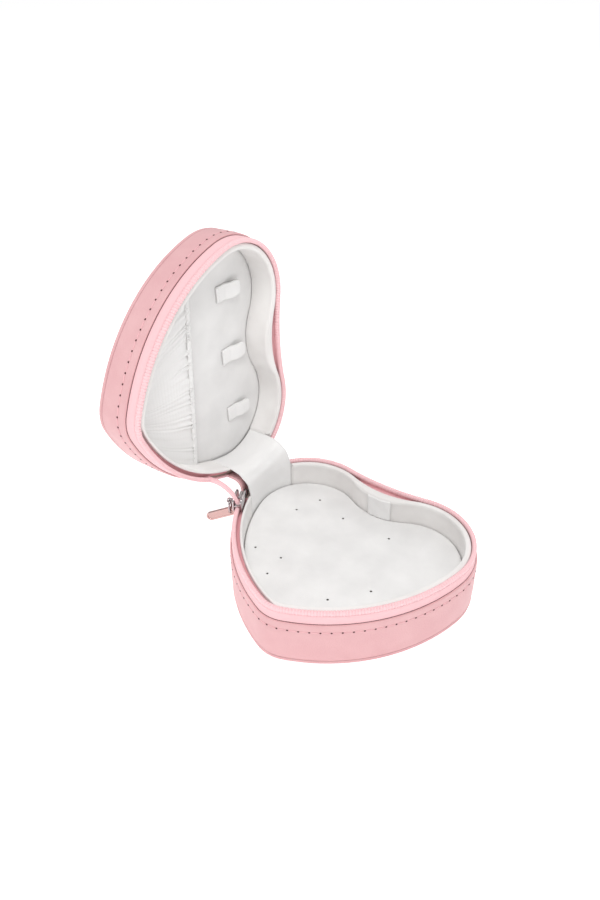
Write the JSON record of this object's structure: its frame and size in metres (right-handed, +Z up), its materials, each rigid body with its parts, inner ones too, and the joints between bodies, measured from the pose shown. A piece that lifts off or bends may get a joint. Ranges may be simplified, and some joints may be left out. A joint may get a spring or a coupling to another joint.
{
  "type": "leather jewellery case",
  "caption": "Heart-shaped zipped leather jewellery case shown open, with a lift-out earring panel, necklace hooks and a gathered pocket in the lid.",
  "frame": {"origin": "middle of the base's footprint, on its underside", "axes": "+Z up from the table, +Y from the tip of the heart towards its cleft along the line of symmetry, -X towards the hinge"},
  "size_m": [0.1358, 0.095, 0.1394],
  "materials": {
    "leather": "fine-grained polyurethane leather, satin",
    "thread": "twisted polyester thread",
    "board": "greyboard, hidden",
    "velvet": "short-pile velvet",
    "zip_tape": "woven polyester tape",
    "zip_coil": "nylon coil",
    "satin": "satin weave",
    "chrome": "polished plated zinc"
  },
  "bodies": {
    "base": {"base_bottom_cover": "leather", "base_piping": "leather", "base_wall_cover": "leather", "base_wall_stitching": "thread", "base_bottom_board": "board", "base_wall_board": "board", "base_floor_lining": "velvet", "base_lining_wall": "velvet", "panel_ledge": "velvet", "base_zip_tape": "zip_tape", "base_zip_coil": "zip_coil", "base_zip_stops": "chrome", "hinge_leather": "leather", "hinge_strap": "satin"},
    "earring_panel": {"earring_board": "board", "earring_pad": "velvet", "pull_ribbon": "satin"},
    "lid": {"lid_top_cover": "leather", "lid_piping": "leather", "lid_wall_cover": "leather", "lid_wall_stitching": "thread", "lid_top_board": "board", "lid_wall_board": "board", "lid_padding": "velvet", "lid_panel": "velvet", "lid_lining_wall": "velvet", "lid_zip_tape": "zip_tape", "lid_zip_coil": "zip_coil", "lid_zip_stops": "chrome", "necklace_hook_1": "satin", "necklace_hook_2": "satin", "necklace_hook_3": "satin", "pocket_satin": "satin", "pocket_elastic": "satin"},
    "zip_slider": {"slider_body": "chrome", "slider_lug": "chrome"},
    "link_ring": {"link_ring": "chrome"},
    "pull_tab": {"pull_tab": "chrome"}
  },
  "joints": [
    {"name": "lid_hinge", "type": "hinge", "parent": "base", "child": "lid", "pos_m": [-0.0556, 0.0178, 0.0289], "axis": [0, 1, 0], "range_deg": [-15, 92], "deforming": ["hinge_leather", "hinge_strap"]},
    {"name": "panel_lift", "type": "slide", "parent": "base", "child": "earring_panel", "axis": [0, 0, 1], "range_m": [0, 0.014]},
    {"name": "slider_travel", "type": "hinge", "parent": "base", "child": "zip_slider", "pos_m": [0.02306, 0.02743, 0.0289], "axis": [0, 0, 1], "range_deg": [0, 41]},
    {"name": "link_ring_swing", "type": "hinge", "parent": "zip_slider", "child": "link_ring", "pos_m": [-0.0514, -0.00572, 0.0284], "axis": [-0.4067, 0.9135, 0], "range_deg": [0, 40]},
    {"name": "pull_tab_swing", "type": "hinge", "parent": "link_ring", "child": "pull_tab", "pos_m": [-0.0514, -0.00572, 0.0224], "axis": [-0.4067, 0.9135, 0], "range_deg": [-55, 30]}
  ]
}
